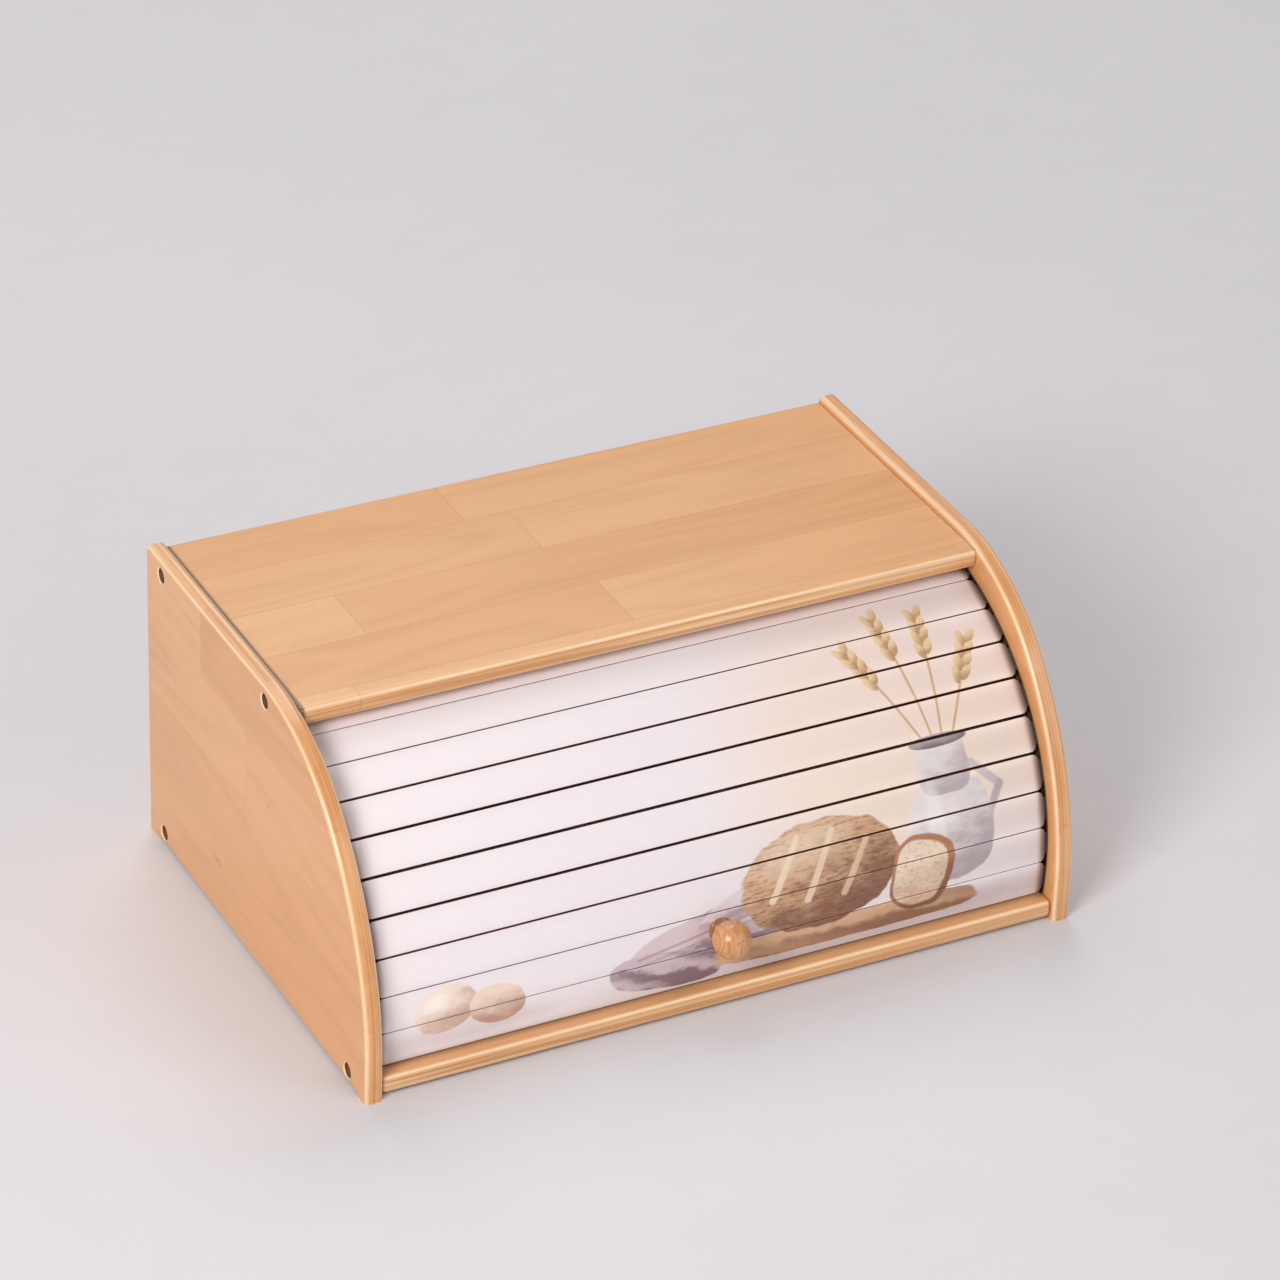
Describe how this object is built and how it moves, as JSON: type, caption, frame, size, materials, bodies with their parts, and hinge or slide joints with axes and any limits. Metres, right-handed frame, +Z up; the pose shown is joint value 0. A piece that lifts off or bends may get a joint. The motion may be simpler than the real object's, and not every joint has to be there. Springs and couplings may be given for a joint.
{
  "type": "bread box with roll top",
  "caption": "Low wooden bread box: curved sides, a shelf top and a slatted tambour door on a canvas backing that rolls up and back under the top, with a turned ball knob.",
  "frame": {"origin": "middle of the whole object's footprint, on the table", "axes": "+X to the right along the box's length, -Y towards the door at the front, +Z up"},
  "size_m": [0.4, 0.2834, 0.172],
  "materials": {
    "varnished_wood": "satin clear varnish",
    "printed_slat": "satin printed picture on white",
    "knob_wood": "turned and varnished",
    "plywood": "sanded plywood",
    "canvas": "plain woven cotton",
    "dark_steel": "dark bronzed",
    "bright_steel": "zinc plated"
  },
  "bodies": {
    "case": {"side_panel_left": "varnished_wood", "side_panel_right": "varnished_wood", "top_panel": "varnished_wood", "bottom_panel": "varnished_wood", "back_panel": "plywood", "top_screws": "dark_steel", "bottom_screws": "dark_steel", "back_pins": "bright_steel"},
    "roll_door": {"slat_01": "printed_slat", "slat_02": "printed_slat", "slat_03": "printed_slat", "slat_04": "printed_slat", "slat_05": "printed_slat", "slat_06": "printed_slat", "slat_07": "printed_slat", "slat_08": "printed_slat", "slat_09": "printed_slat", "slat_10": "printed_slat", "slat_11": "printed_slat", "backing_canvas": "canvas", "knob": "knob_wood", "knob_screw": "bright_steel", "knob_washer": "bright_steel"}
  },
  "joints": [
    {"name": "door_roll", "type": "hinge", "parent": "case", "child": "roll_door", "pos_m": [0, 0.00751, 0.0298], "axis": [-1, 0, 0], "range_deg": [0, 62.6]}
  ]
}
